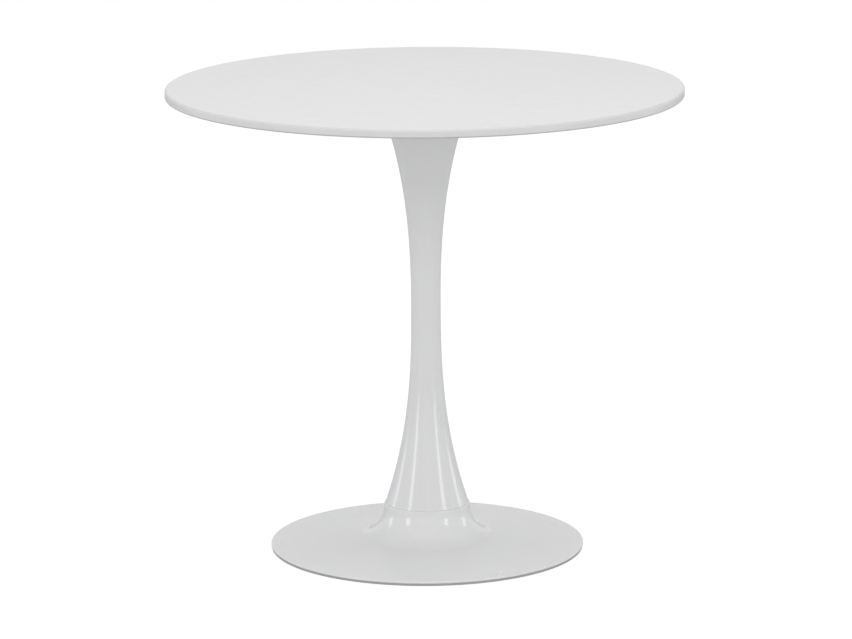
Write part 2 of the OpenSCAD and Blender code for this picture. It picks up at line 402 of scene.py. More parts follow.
sweep_rise = math.sqrt((sweep_centre[1] - slope_height(sweep_centre[0])) ** 2
                       - (SWEEP_REACH * math.tan(SLOPE)) ** 2)
sweep_end = math.atan2(sweep_rise, SWEEP_REACH * math.tan(SLOPE))


def sweep(offset, start, stop, steps):
    """Ellipse from the collar to the slope: centre - ((reach + offset) cos a, (rise + offset) sin a)."""
    a = np.linspace(start, stop, steps + 1)
    along = np.column_stack([(SWEEP_REACH + offset) * np.cos(a), (sweep_rise + offset) * np.sin(a)])
    return sweep_centre - along


def slope_line(start, stop, drop, count):
    """Points of the slope between two radii, lowered by `drop`."""
    r = np.linspace(start, stop, count)
    return np.column_stack([r, slope_height(r) - drop])


hem_in_r = rim_r - SHEET - HEM_WIDTH
sheet_drop = SHEET / math.cos(SLOPE)
upper_sweep = sweep(0, 0, sweep_end, 44)
lower_sweep = sweep(SHEET, 0, sweep_end, 44)
hem_end = np.vstack([
    bend((hem_in_r + 0.8 * MM, ring_high), (hem_in_r, ring_high), (hem_in_r, ring_high + 0.8 * MM)),
    bend((hem_in_r, ring_high + 1.2 * MM), (hem_in_r, ring_high + SHEET),
         (hem_in_r + 0.8 * MM, ring_high + SHEET)),
])
foot_outline = np.vstack([
    arc((flange_in_r + SHEET / 2, seam_z - SHEET / 2), SHEET / 2, 270, 90, 8),
    [(COLLAR_R - SHOULDER - 1 * MM, seam_z)],
    arc((COLLAR_R - SHOULDER, seam_z - SHOULDER), SHOULDER, 90, 0, 10),
    upper_sweep[1:],
    slope_line(upper_sweep[-1][0], hem_centre[0], 0, 16)[1:-1],
    arc(hem_centre, SHEET, 90 - math.degrees(SLOPE), -90, 18),
    [(hem_centre[0] - 1 * MM, ring_high)],
    hem_end,
    [(hem_centre[0] - 1.2 * MM, ring_high + SHEET), (hem_centre[0] - 0.6 * MM, ring_high + SHEET)],
    slope_line(hem_centre[0] - 0.6 * MM, lower_sweep[-1][0], sheet_drop, 16)[:-1],
    lower_sweep[::-1],
    bend((COLLAR_R - SHEET, seam_z - SHOULDER - 0.1 * MM), (COLLAR_R - SHEET, seam_z - SHEET),
         (COLLAR_R - SHEET - 1 * MM, seam_z - SHEET))[1:],
])[::-1]
hand_over(solid("spun_foot", turned(foot_outline, 240)), "foot_paint", "base_shell")
print(f"the sweep rises {sweep_rise / MM:.1f} mm and ends at {math.degrees(sweep_end):.1f} degrees")

# %% [markdown]
# ## The ring under the rim
# A soft ring is pushed under the fold, so that the steel doesn't scratch the floor. Two grooves in its
# sole let it grip. It is one more turned outline.

# %% The ring under the rim
ring_out_r = reach("floor_ring")
ring_in_r = rim_r - HEM_WIDTH
GROOVES = (237.1 * MM, 240.5 * MM)
GROOVE_HALF = 0.6 * MM
GROOVE_DEPTH = 0.7 * MM
sole = [(ring_in_r, ring_low)]
for groove in GROOVES:
    sole += [(groove - GROOVE_HALF, ring_low), (groove, ring_low + GROOVE_DEPTH),
             (groove + GROOVE_HALF, ring_low)]
ring_corners = sole + [(ring_out_r, ring_low), (ring_out_r, ring_high), (ring_in_r, ring_high)]
ring_cuts = np.array([0.5, *[0.12] * 6, 0.7, 0.5, 0.3]) * MM
ring_outline = softened(ring_corners, ring_cuts, steps=3)
hand_over(solid("sole_ring", turned(ring_outline, 200)), "floor_rubber", "floor_ring")

# %% [markdown]
# ## Threads
# The rod, the nut, the screws and the inserts all carry threads. A helix modifier (Screw) can sweep a
# tooth upwards, but its ends stay open. Here the thread is only a radius that depends on the angle and
# the height, on the same closed grid as a plain bar, and it dies away towards a lead-in cone.

# %% Threads
def thread(columns, z, crest, depth, pitch):
    """Radius of a right-hand thread. With phase = z / pitch - a / (full turn), the ridge is
    |2 frac(phase) - 1|, a little flattened, and the radius is crest - depth (1 - ridge)."""
    phase = z[:, None] / pitch - angles(columns) / (2 * np.pi)
    ridge = np.clip(1.3 * np.abs(2 * (phase - np.floor(phase)) - 1) - 0.15, 0, 1)
    return crest - depth * (1 - ridge)


def level(z, columns):
    """A height for each row, the same at every angle."""
    return np.repeat(np.asarray(z, float)[:, None], columns, axis=1)


def joined(*parts):
    """Grids of radius and height laid end to end as one outline."""
    return np.vstack([radius for radius, _ in parts]), np.vstack([height for _, height in parts])


def threaded_rows(columns, start, stop, crest, depth, pitch, per_turn=10):
    """Grids of radius and height for a thread between two heights, with ten rows for each turn."""
    z = np.linspace(start, stop, int(abs(stop - start) / pitch * per_turn) + 2)
    return thread(columns, z, crest, depth, pitch), level(z, columns)


# %% [markdown]
# ## The rod, the nut and the washers
# One rod with a thread at each end pulls the board's plate and the foot together. Under the hub sit a
# wide washer, a split spring washer and a hexagon nut with its corners turned off.

# %% The rod
ROD_PITCH = 1.75 * MM
ROD_THREAD = 1.0 * MM
THREAD_GAP = 0.05 * MM
RUN_OUT = 4 * MM        # length over which the thread fades into the shank
LEAD_IN = 1.5 * MM      # depth and length of the cone at each tip
rod_r = reach("tie_rod")
rod_low, rod_high = levels("tie_rod")


def rod_threads(columns, start, stop, gap=0.0):
    """Grids of the rod's own thread, or of a nut's thread that follows it with a gap."""
    return threaded_rows(columns, start, stop, rod_r + gap, ROD_THREAD, ROD_PITCH)


def rod_end(start, stop, shank_z, tip_z):
    """Grids of one end of the rod. The depth of the thread grows from 0 at the shank to its full size
    over the run-out, and the radius stays within a cone at the tip."""
    radius, height = rod_threads(32, start, stop)
    share = np.clip(np.abs(height - shank_z) / RUN_OUT, 0, 1)
    radius = rod_r - (rod_r - radius) * share
    return np.minimum(radius, rod_r - LEAD_IN + np.abs(height - tip_z)), height


lower_shank = rod_low + 38 * MM
upper_shank = rod_high - 34 * MM
tip_r = rod_r - LEAD_IN - 0.3 * MM
shank_z = np.linspace(lower_shank + 2 * MM, upper_shank - 2 * MM, 12)
rod_grids = joined(
    spread([(0, rod_low), (tip_r, rod_low)], 32),
    rod_end(rod_low + 0.2 * MM, lower_shank, lower_shank, rod_low),
    spread([(rod_r, z) for z in shank_z], 32),
    rod_end(upper_shank, rod_high - 0.2 * MM, upper_shank, rod_high),
    spread([(tip_r, rod_high), (0, rod_high)], 32),
)
hand_over(solid("threaded_rod", wrapped(*rod_grids, poles=True), crease=40), "zinc_fixings", "tie_rod")

# %% The hexagon nut
nut_low, nut_high = levels("rod_nut")
nut_box_low, nut_box_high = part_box("rod_nut")
nut_flats = nut_box_high.y - nut_box_low.y
NUT_COLUMNS = 72


def hexagon(flats, columns):
    """Radius of a hexagon with a corner on +X: half the flats over cos((a mod 60) - 30 degrees)."""
    a = angles(columns) % (np.pi / 3) - np.pi / 6
    return flats / 2 / np.cos(a)


face_r = 0.95 * nut_flats / 2
rise = np.linspace(0, 1.3 * MM, 11)
corner_cone = face_r + rise[:, None] / math.tan(math.radians(30))
chamfer = np.minimum(hexagon(nut_flats, NUT_COLUMNS), corner_cone)
bore = rod_threads(NUT_COLUMNS, nut_high - 0.6 * MM, nut_low + 0.6 * MM, THREAD_GAP)
nut_grids = joined(
    spread([(rod_r + 0.5 * MM, nut_low), (face_r - 1 * MM, nut_low)], NUT_COLUMNS),
    (chamfer, level(nut_low + rise, NUT_COLUMNS)),
    (chamfer[::-1], level(nut_high - rise[::-1], NUT_COLUMNS)),
    spread([(face_r - 1 * MM, nut_high), (rod_r + 0.5 * MM, nut_high)], NUT_COLUMNS),
    bore,
)
hand_over(solid("hexagon_nut", wrapped(*nut_grids), crease=28), "zinc_fixings", "rod_nut")

# %% The washers
def tube_outline(inner, outer, low, high, cut=0.4 * MM):
    """Section of a flat ring with soft edges."""
    return softened([(inner, low), (outer, low), (outer, high), (inner, high)], cut)


def flat_ring(name, node, slot_name, inner, cut, columns):
    """Flat ring as wide and as high as its CAD node."""
    outline = tube_outline(inner, reach(node), *levels(node), cut)
    hand_over(solid(name, turned(outline, columns)), slot_name, node)


rod_hole_r = rod_r + 0.5 * MM
flat_ring("wide_washer", "clamp_washer", "zinc_fixings", rod_hole_r, 0.5 * MM, 96)


def carried(section, path, side, up, size):
    """A closed section carried along a path: at each point p of the path lie the points
    p + size (u side + v up), for (u, v) round the section. The direction of the path is side x up, and a
    flat face closes each end."""
    u, v = section[None, :, 0:1], section[None, :, 1:2]
    points = path[:, None] + size[:, None, None] * (u * side[:, None] + v * up[:, None])
    number = np.arange(points[..., 0].size).reshape(points.shape[:2])
    return points.reshape(-1, 3), [woven(number), number[:1, ::-1], number[-1:]]


spring_low, spring_high = levels("lock_washer")
spring_r = reach("lock_washer")
spring_in_r = rod_r + 0.3 * MM
SLIT = 1.5 * MM
half_slit = math.asin(SLIT / 2 / spring_r) + math.radians(2)
turn = np.linspace(half_slit, 2 * math.pi - half_slit, 73)
half_width = (spring_r - spring_in_r) / 2
half_height = (spring_high - spring_low) / 2
corners = [(-half_width, -half_height), (half_width, -half_height),
           (half_width, half_height), (-half_width, half_height)]
spring_section = softened(corners, 0.35 * MM)[::-1]
outward = np.column_stack([np.cos(turn), np.sin(turn), 0 * turn])
spring_path = outward * (spring_in_r + half_width) + [0, 0, (spring_low + spring_high) / 2]
upward = np.broadcast_to([0.0, 0.0, 1.0], outward.shape)
spring = carried(spring_section * [-1, 1], spring_path, -outward, upward, np.ones(73))
hand_over(solid("spring_washer", spring, crease=40), "zinc_fixings", "lock_washer")

# %% [markdown]
# ## The screws under the board
# Eight low-headed screws with a hexagon socket go up through washers and the plate into threaded
# inserts. One screw is drawn at the axis and copied round the circle, so that all eight keep the same
# threads, and the insert's inner thread follows the screw's with a small gap.

# %% Screws, small washers and inserts
SCREW_R = 3 * MM
SCREW_PITCH = 1 * MM
SCREW_THREAD = 0.6 * MM
HEAD_R = 5.25 * MM
SOCKET_FLATS = 4 * MM
SOCKET_DEPTH = 2 * MM
INSERT_R = 4.5 * MM
screw_low, screw_high = levels("plate_screws")
small_low, small_high = levels("plate_washers")
insert_low, insert_high = levels("threaded_inserts")
SOCKET_COLUMNS = 48

dome = np.linspace(0, np.pi / 2, 7)
dome_r = 0.7 * HEAD_R + 0.3 * HEAD_R * np.sin(dome)
dome_z = screw_low + 0.6 * (small_low - screw_low) * (1 - np.cos(dome))
socket = hexagon(SOCKET_FLATS, SOCKET_COLUMNS)
socket_rows = np.stack([0.5 * socket, 0.96 * socket, socket, socket, socket + 0.25 * MM])
socket_z = screw_low + np.array([SOCKET_DEPTH, SOCKET_DEPTH, SOCKET_DEPTH - 0.1 * MM, 0.3 * MM, 0])
shank = threaded_rows(SOCKET_COLUMNS, small_low + 1.8 * MM, screw_high - 0.2 * MM,
                      SCREW_R, SCREW_THREAD, SCREW_PITCH, per_turn=8)
tip_cone = SCREW_R - 1 * MM + (screw_high - shank[1])
shank = (np.minimum(shank[0], tip_cone), shank[1])
screw_grids = joined(
    spread([(0, screw_low + SOCKET_DEPTH)], SOCKET_COLUMNS),
    (socket_rows, level(socket_z, SOCKET_COLUMNS)),
    spread(np.column_stack([dome_r, dome_z]), SOCKET_COLUMNS),
    spread([(HEAD_R, small_low - 0.2 * MM), (HEAD_R - 0.2 * MM, small_low), (SCREW_R, small_low)],
           SOCKET_COLUMNS),
    shank,
    spread([(SCREW_R - 1.1 * MM, screw_high), (0, screw_high)], SOCKET_COLUMNS),
)
screw = wrapped(*screw_grids, poles=True)
screws = solid("button_screws", ring_copies(screw, SCREW_COUNT, SCREW_CIRCLE), crease=38)
hand_over(screws, "zinc_fixings", "plate_screws")

small_outline = tube_outline(SCREW_R + 0.2 * MM, 6.25 * MM, small_low, small_high, 0.3 * MM)
small_washer = turned(small_outline, 48)
small_washers = solid("small_washers", ring_copies(small_washer, SCREW_COUNT, SCREW_CIRCLE))
hand_over(small_washers, "zinc_fixings", "plate_washers")

coarse = threaded_rows(32, insert_low + 1.4 * MM, insert_high - 0.4 * MM, INSERT_R, 0.6 * MM, 2.5 * MM)
fine = threaded_rows(32, insert_high - 0.2 * MM, insert_low + 0.2 * MM,
                     SCREW_R + THREAD_GAP, SCREW_THREAD, SCREW_PITCH, per_turn=8)
insert_grids = joined(
    spread([(SCREW_R + 0.3 * MM, insert_low), (5.9 * MM, insert_low), (6 * MM, insert_low + 0.2 * MM),
            (6 * MM, insert_low + 1 * MM), (5.9 * MM, insert_low + 1.2 * MM)], 32),
    coarse,
    spread([(INSERT_R - 0.8 * MM, insert_high), (SCREW_R + 0.3 * MM, insert_high)], 32),
    fine,
)
inserts = ring_copies(wrapped(*insert_grids), SCREW_COUNT, SCREW_CIRCLE)
hand_over(solid("board_inserts", inserts, crease=40), "zinc_fixings", "threaded_inserts")

# %% [markdown]
# ## The plate and its rings
# A round steel plate lies between the board and the column. A threaded boss and a ring that centres the
# column's mouth are welded under it, and a second ring is welded on the foot's flange. The plate is
# turned and then drilled, with a small countersink where each drill enters and leaves.

# %% The plate and the parts welded to it
PLATE_DRILL = 3.5 * MM
COUNTERSINK = 0.4 * MM
plate_outline = tube_outline(rod_hole_r, plate_r, plate_low, plate_high, 0.5 * MM)
split = len(plate_outline) // 4
bands = [SCREW_CIRCLE - 12 * MM, SCREW_CIRCLE + 12 * MM]
plate_outline = np.vstack([
    plate_outline[:split],
    [(r, plate_low) for r in bands],
    plate_outline[split:3 * split],
    [(r, plate_high) for r in bands[::-1]],
    plate_outline[3 * split:],
])
plate = solid("mounting_disc", turned(plate_outline, 192))
beyond = 1 * MM
drill_mouth_r = PLATE_DRILL + COUNTERSINK + beyond
drill_outline = [
    (0, plate_low - beyond), (drill_mouth_r, plate_low - beyond),
    (PLATE_DRILL, plate_low + COUNTERSINK), (PLATE_DRILL, plate_high - COUNTERSINK),
    (drill_mouth_r, plate_high + beyond), (0, plate_high + beyond),
]
plate_drill = turned(drill_outline, 40, poles=True)
drilled(plate, solid("plate_drill", ring_copies(plate_drill, SCREW_COUNT, SCREW_CIRCLE)), crease=30)
hand_over(plate, "plate_paint", "mounting_plate")

boss_low, boss_high = levels("rod_boss")
boss_r = reach("rod_boss")
boss_grids = joined(
    spread(softened([(rod_r + 0.6 * MM, boss_low), (boss_r, boss_low), (boss_r, boss_high - 0.3 * MM)],
                    0.8 * MM, closed=False), 48),
    spread([(boss_r - 0.3 * MM, boss_high), (rod_r + 0.6 * MM, boss_high)], 48),
    rod_threads(48, boss_high - 0.6 * MM, boss_low + 0.6 * MM, THREAD_GAP),
)
hand_over(solid("welded_boss", wrapped(*boss_grids), crease=40), "plate_paint", "rod_boss")

RING_WALL = 3 * MM
for name, node, slot_name in (("upper_centring_ring", "top_locating_ring", "plate_paint"),
                              ("lower_centring_ring", "base_locating_ring", "foot_paint")):
    flat_ring(name, node, slot_name, reach(node) - RING_WALL, 0.6 * MM, 128)
flat_ring("hub_disc", "hub_plate", "foot_inner_paint", rod_hole_r, 0.6 * MM, 144)

# %% [markdown]
# ## The ribs
# Six upright plates stiffen the foot from below. They are cut from flat sheet, so each is its outline
# with a small flat taken off all round the two faces. The outline comes from the same sweep and slope
# as the sheet above it, a hair lower.

# %% The ribs
RIB_COUNT = 6
RIB_THICK = 3 * MM
RIB_EASE = 0.35 * MM
RIB_GAP = 0.3 * MM
RIB_IN_R = 32 * MM
RIB_IN_Z = 14 * MM
RIB_OUT_R = rim_r - 30 * MM
RIB_OUT_Z = ring_high + 1.5 * MM


def inset(outline, distance):
    """A closed outline drawn in by a distance: each point moves along the mean of its two edge normals,
    by distance over the cosine of half the turn."""
    edge = np.roll(outline, -1, axis=0) - outline
    normal = np.column_stack([edge[:, 1], -edge[:, 0]]) / np.linalg.norm(edge, axis=1, keepdims=True)
    mean = normal + np.roll(normal, 1, axis=0)
    return outline - distance * mean * 2 / (mean**2).sum(axis=1, keepdims=True)


def slab(outline, thick, ease):
    """Plate of an outline in the X-Z plane, from y = -thick / 2 to thick / 2, with flats at its edges."""
    inner = inset(outline, ease)
    loops = np.stack([inner, outline, outline, inner])
    depth = np.array([-thick / 2, ease - thick / 2, thick / 2 - ease, thick / 2])
    depth = np.broadcast_to(depth[:, None], loops.shape[:2])
    points = np.stack([loops[..., 0], depth, loops[..., 1]], axis=-1)
    number = np.arange(4 * len(outline)).reshape(4, -1)
    return points.reshape(-1, 3), [woven(number)[:, ::-1], number[:1], number[-1:, ::-1]]


def about_axis(shape, degrees):
    """The shape turned about the upright axis."""
    points, faces = shape
    a = math.radians(degrees)
    turn_matrix = np.array([[math.cos(a), -math.sin(a), 0], [math.sin(a), math.cos(a), 0], [0, 0, 1]])
    return points @ turn_matrix.T, faces


rib_offset = SHEET + RIB_GAP
rib_start = math.asin((sweep_centre[1] - hub_low) / (sweep_rise + rib_offset))
rib_top = sweep(rib_offset, rib_start, sweep_end, 16)
rib_outline = np.vstack([
    [(RIB_IN_R, hub_low), (RIB_IN_R, RIB_IN_Z), (RIB_OUT_R, RIB_OUT_Z)],
    [(RIB_OUT_R, slope_height(RIB_OUT_R) - sheet_drop - RIB_GAP)],
    rib_top[::-1],
])
rib = slab(rib_outline, RIB_THICK, RIB_EASE)
for k in range(RIB_COUNT):
    stiffener = solid(f"stiffener_{k + 1}", about_axis(rib, (k + 0.5) * 60), crease=30)
    hand_over(stiffener, "foot_inner_paint", f"rib_{k + 1}")

# %% [markdown]
# ## The welds
# Welds are what makes a hidden underside look made. A bead is a round bar laid in a corner, half sunk
# into both plates, with the ripple of the torch along it. The one round the hub is a ring; the stitches
# at the ribs are short and taper at their ends.

# %% The welds
# Where the beads run, in millimetres from the axis
HUB_STITCHES = ((35, 46), (56, 67))
SHEET_STITCHES = ((122, 136), (158, 172), (194, 208))


def bead_ring(centre_r, z, size, ripples, columns, rows=12):
    """Ring bead: centre + size (1 + 0.12 ripple) (cos b, sin b). The ripple is |sin| round the axis."""
    b = np.arange(rows)[:, None] * 2 * np.pi / rows
    swell = size * (1 + 0.12 * np.abs(np.sin(angles(columns) * ripples / 2)))
    return wrapped(centre_r + swell * np.cos(b), z + swell * np.sin(b))


def stitch(start, stop, side, up, size, ripples=7, steps=29):
    """Short bead along a line, sin-shaped at its ends and rippled in between."""
    share = np.linspace(0, 1, steps)
    path = start + share[:, None] * (np.asarray(stop) - start)
    taper = np.clip(np.sin(np.pi * share) * 3, 0.15, 1)
    swell = size * taper * (1 + 0.14 * np.abs(np.sin(np.pi * share * ripples)))
    b = np.arange(10) * 2 * np.pi / 10
    section = np.column_stack([np.cos(b), np.sin(b)])
    return carried(section, path, *(np.broadcast_to(v, path.shape) for v in (side, up)), swell)


def under_sheet(r):
    """Height of the slope's lower face."""
    return slope_height(r) - sheet_drop


def rib_stitches(degrees):
    """Beads on both faces of one rib, along the hub and along the sheet."""
    made = []
    side = np.array([0, 1.0, 0])
    for y in (-RIB_THICK / 2, RIB_THICK / 2):
        for spans, height_at, size in ((HUB_STITCHES, lambda r: hub_low, 1.5 * MM),
                                       (SHEET_STITCHES, under_sheet, 1.4 * MM)):
            for span in spans:
                start, stop = (np.array([r * MM, y, height_at(r * MM)]) for r in span)
                along = (stop - start) / np.linalg.norm(stop - start)
                made.append(stitch(start, stop, side, np.cross(along, side), size))
    return [about_axis(one, degrees) for one in made]


hub_weld = bead_ring(hub_r + 0.1 * MM, hub_low, 1.7 * MM, 96, 384)
hand_over(solid("hub_weld", hub_weld), "foot_inner_paint")
stitches = [one for k in range(RIB_COUNT) for one in rib_stitches((k + 0.5) * 60)]
hand_over(solid("rib_welds", *stitches), "foot_inner_paint")
plate_welds = [bead_ring(boss_r, plate_low, 1.8 * MM, 40, 160),
               bead_ring(reach("top_locating_ring") - RING_WALL, plate_low, 1.5 * MM, 90, 360)]
hand_over(solid("plate_welds", *plate_welds), "plate_paint")
flange_weld = bead_ring(reach("base_locating_ring") - RING_WALL, seam_z, 1.5 * MM, 84, 336)
hand_over(solid("flange_weld", flange_weld), "foot_paint")

# %% [markdown]
# ## Building a finish
# Every finish is one Principled shader fed by patterns. The patterns read Object coordinates, which are
# metres on the piece itself, so a pattern keeps its real size and stays where it is when the piece is
# seen from another side. The little builder below adds a node, feeds its sockets, and hands back its
# outputs. Numbers that are the same all over a surface are set on the shader itself.

# %% A small builder for materials
def feed(node, socket, value):
    """Links a socket to another node's output, or sets it to a constant."""
    if isinstance(value, bpy.types.NodeSocket):
        node.id_data.links.new(value, node.inputs[socket])
    else:
        node.inputs[socket].default_value = value


def add_node(tree, kind, feeds=None, **settings):
    """Adds a shader node, feeds its sockets, and returns its outputs."""
    node = tree.nodes.new("ShaderNode" + kind)
    for key, value in settings.items():
        setattr(node, key, value)
    for socket, value in (feeds or {}).items():
        feed(node, socket, value)
    return node.outputs


class Finish:
    """A node material in the making: one Principled shader and the patterns that feed it."""

    def __init__(self, name, **steady):
        self.material = bpy.data.materials.new(name)
        self.material.use_nodes = True
        self.tree = self.material.node_tree
        self.shader = self.tree.nodes["Principled BSDF"]
        for socket, value in steady.items():
            self.shader.inputs[socket.replace("_", " ")].default_value = value
        self.place = self.add("TexCoord")["Object"]

    def add(self, kind, feeds=None, **settings):
        """Adds a node to this finish and returns its outputs."""
        return add_node(self.tree, kind, feeds, **settings)

    def waves(self, size, detail=2.0, rough=0.5, where=None, warp=0.0):
        """Soft noise from 0 to 1 whose waves are about `size` metres long."""
        feeds = {"Vector": where or self.place, "Scale": 1 / size, "Detail": detail,
                 "Roughness": rough, "Distortion": warp}
        return self.add("TexNoise", feeds)[0]

    def between(self, value, low, high, to_low=0.0, to_high=1.0):
        """Smooth step: to_low up to `low`, to_high from `high` on."""
        feeds = {"Value": value, "From Min": low, "From Max": high, "To Min": to_low, "To Max": to_high}
        return self.add("MapRange", feeds, interpolation_type="SMOOTHSTEP")["Result"]

    def patches(self, size, low, high, to_low=0.0, to_high=1.0, **noise):
        """Waves of a size with a smooth step, which makes patches of them."""
        return self.between(self.waves(size, **noise), low, high, to_low, to_high)

    def times(self, a, b, operation="MULTIPLY"):
        """a times b, or another sum of the two."""
        return self.add("Math", {0: a, 1: b}, operation=operation)[0]

    def mixed(self, share, a, b):
        """Colour a where share is 0, colour b where it is 1."""
        return self.add("Mix", {0: share, 6: a, 7: b}, data_type="RGBA")[2]

    def stretched(self, scale):
        """Object coordinates times a scale for each axis, for patterns that run one way."""
        return self.add("Mapping", {"Vector": self.place, "Scale": scale})[0]

    def distance_from_axis(self):
        """Length of (x, y, 0)."""
        flat = self.add("VectorMath", {0: self.place, 1: (1.0, 1.0, 0.0)}, operation="MULTIPLY")[0]
        return self.add("VectorMath", {0: flat}, operation="LENGTH")["Value"]

    def height(self):
        """Z, the height above the floor."""
        return self.add("SeparateXYZ", {0: self.place})["Z"]

    def relief(self, height, depth, under=None):
        """Bump of `depth` metres where the height is 1, laid over another relief."""
        feeds = {"Height": height, "Distance": depth, "Strength": 1.0}
        if under is not None:
            feeds["Normal"] = under
        return self.add("Bump", feeds)["Normal"]

    def close(self, colour, roughness, normal):
        """Feeds the shader and returns the material."""
        for socket, value in (("Base Color", colour), ("Roughness", roughness), ("Normal", normal)):
            feed(self.shader, socket, value)
        print(f"{self.material.name}: {len(self.tree.nodes)} nodes")
        return self.material


def grey(value, warm=0.0):
    """A colour near white or grey, a little warmer for a positive `warm`, cooler for a negative one."""
    return (value * (1 + warm), value, value * (1 - warm), 1.0)


# %% [markdown]
# ## The board's lacquer
# The lacquer is a matte white, sprayed in two coats and flatted. It has a very fine tooth, long and
# shallow waves that show only at a low angle, and a faint cloudiness in its tone. Hands and chairs
# polish the edge and leave patches of it a trace darker. The edge face and its upper arris are painted
# darker still, painted shade, and a thin painted shade lies along the lower arris, so the patterns there
# follow the distance from the axis and the height.

# %% Board lacquer
BOARD_WHITE = 0.735

lacquer = Finish("board_lacquer", IOR=1.46)
cloud = lacquer.waves(0.16, detail=3.0, rough=0.55)
speck = lacquer.patches(0.0035, 0.66, 0.74, detail=3.0)
handled = lacquer.between(lacquer.distance_from_axis(), board_r - 14 * MM, board_r)
touched = lacquer.times(handled, lacquer.patches(0.035, 0.35, 0.7, detail=4.0))
base = lacquer.mixed(cloud, grey(BOARD_WHITE - 0.012), grey(BOARD_WHITE + 0.012))
base = lacquer.mixed(lacquer.times(touched, 0.25), base, grey(BOARD_WHITE - 0.07, 0.02))
# Painted shade: the edge face is painted a little darker, and the band round the upper arris fully, to dim
# the light on them.
edge = lacquer.between(lacquer.distance_from_axis(), board_r - 5 * MM, board_r - 1 * MM)
edge_shade_and_rub_wear = lacquer.between(lacquer.height(), board_high - 3 * MM, board_high - 1 * MM, 0.43, 1.0)
base = lacquer.mixed(lacquer.times(edge, edge_shade_and_rub_wear), base, grey(BOARD_WHITE - 0.10))
# Painted shade: a thin band along the lower arris, which faces the floor, is painted much darker.
arris_top = board_high - EDGE_HEIGHT + 2.6 * MM
painted_lower_arris_shade = lacquer.between(lacquer.height(), arris_top - 1.4 * MM, arris_top, 1.0, 0.0)
base = lacquer.mixed(lacquer.times(edge, painted_lower_arris_shade), base, grey(BOARD_WHITE - 0.26))
base = lacquer.mixed(lacquer.times(speck, 0.12), base, grey(BOARD_WHITE - 0.12, 0.01))
sheen = lacquer.patches(0.028, 0.25, 0.75, 0.40, 0.52, detail=4.0, rough=0.6)
sheen = lacquer.times(sheen, lacquer.between(handled, 0.0, 1.0, 1.0, 0.88))
tooth = lacquer.relief(lacquer.waves(0.0011, detail=3.0, rough=0.6), 9e-6)
long_waves = lacquer.relief(lacquer.waves(0.045, detail=1.0), 5e-5, tooth)
board_lacquer = lacquer.close(base, sheen, long_waves)

# %% [markdown]
# ## Gloss paint on the column and the foot
# Both are powder coated and glossy. Powder melts into a skin with a slight orange peel, two to four
# millimetres from hump to hump, which makes the edges of a reflected light waver. The column and the
# foot share one recipe, but the foot has more to bear: shoes rub grey marks on the slope and dull it
# towards the rim, while the column keeps its gloss. The foot's white is set 0.03 lighter than the
# column's, painted light on one and the same powder coat.

# %% Gloss paint
GLOSS_WHITE = 0.770


def gloss_paint(name, white, peel, polish, worn=None):
    """Powder coat: cloudy white, orange peel of a given depth, a polish from low to high roughness, and
    wear = (from radius, to radius, strength) that grows outwards, after the gloss has gone down."""
    paint = Finish(name, IOR=1.5)
    cloud = paint.waves(0.09, detail=3.0, rough=0.55)
    colour = paint.mixed(cloud, grey(white - 0.01), grey(white + 0.01, -0.004))
    nib = paint.patches(0.0022, 0.73, 0.8, detail=1.0)
    colour = paint.mixed(paint.times(nib, 0.1), colour, grey(white - 0.12, 0.01))
    rough = paint.patches(0.03, 0.25, 0.8, *polish, detail=4.0, rough=0.6)
    if worn:
        start, stop, strength = worn
        outer = paint.between(paint.distance_from_axis(), start, stop)
        smeared = paint.stretched((1.0, 0.35, 1.0))
        streak = paint.waves(0.02, detail=5.0, rough=0.65, where=smeared, warp=0.6)
        rub = paint.times(outer, paint.between(streak, 0.56, 0.72))
        colour = paint.mixed(paint.times(rub, strength), colour, grey(white - 0.16, 0.01))
        rough = paint.times(rough, paint.times(rub, 0.10), "ADD")
        trodden = paint.between(paint.distance_from_axis(), start / 2, start, 0.0, 0.15)
        rough = paint.times(rough, trodden, "ADD")
    bumps = paint.relief(paint.waves(0.0032, detail=1.0, rough=0.4), peel)
    bumps = paint.relief(paint.waves(0.022, detail=1.0), peel * 2.5, bumps)
    bumps = paint.relief(nib, peel * 1.5, bumps)
    return paint.close(colour, rough, bumps)


column_paint = gloss_paint("column_paint", GLOSS_WHITE, 1.1e-5, (0.10, 0.17))
# Painted light: the foot's white is 0.03 lighter than the column's, though both are one powder coat.
foot_paint = gloss_paint("foot_paint", GLOSS_WHITE + 0.030, 0.9e-5, (0.06, 0.11), (0.17, 0.24, 0.18))

# %% [markdown]
# ## Paint inside the foot and on the plate
# Nobody sees the underside, so the powder is thin there: greyer, duller and blotchy, with the bare
# steel's colour showing near the edges of the blotches. The plate under the board is a clean satin coat
# with a coarser peel, rubbed round the screws where the washers were turned home.

# %% Thin paint and satin paint
thin = Finish("thin_inner_paint", IOR=1.5)
patchy = thin.waves(0.05, detail=5.0, rough=0.6, warp=0.4)
tone = thin.mixed(thin.between(patchy, 0.3, 0.7), grey(0.50, 0.006), grey(0.66))
starved = thin.patches(0.012, 0.62, 0.76, detail=4.0, rough=0.65)
tone = thin.mixed(thin.times(starved, 0.5), tone, grey(0.33, -0.015))
dull = thin.between(patchy, 0.3, 0.75, 0.62, 0.38)
grainy = thin.relief(thin.waves(0.0016, detail=3.0, rough=0.6), 3.5e-5)
grainy = thin.relief(thin.waves(0.006, detail=2.0), 4e-5, grainy)
inner_paint = thin.close(tone, dull, grainy)

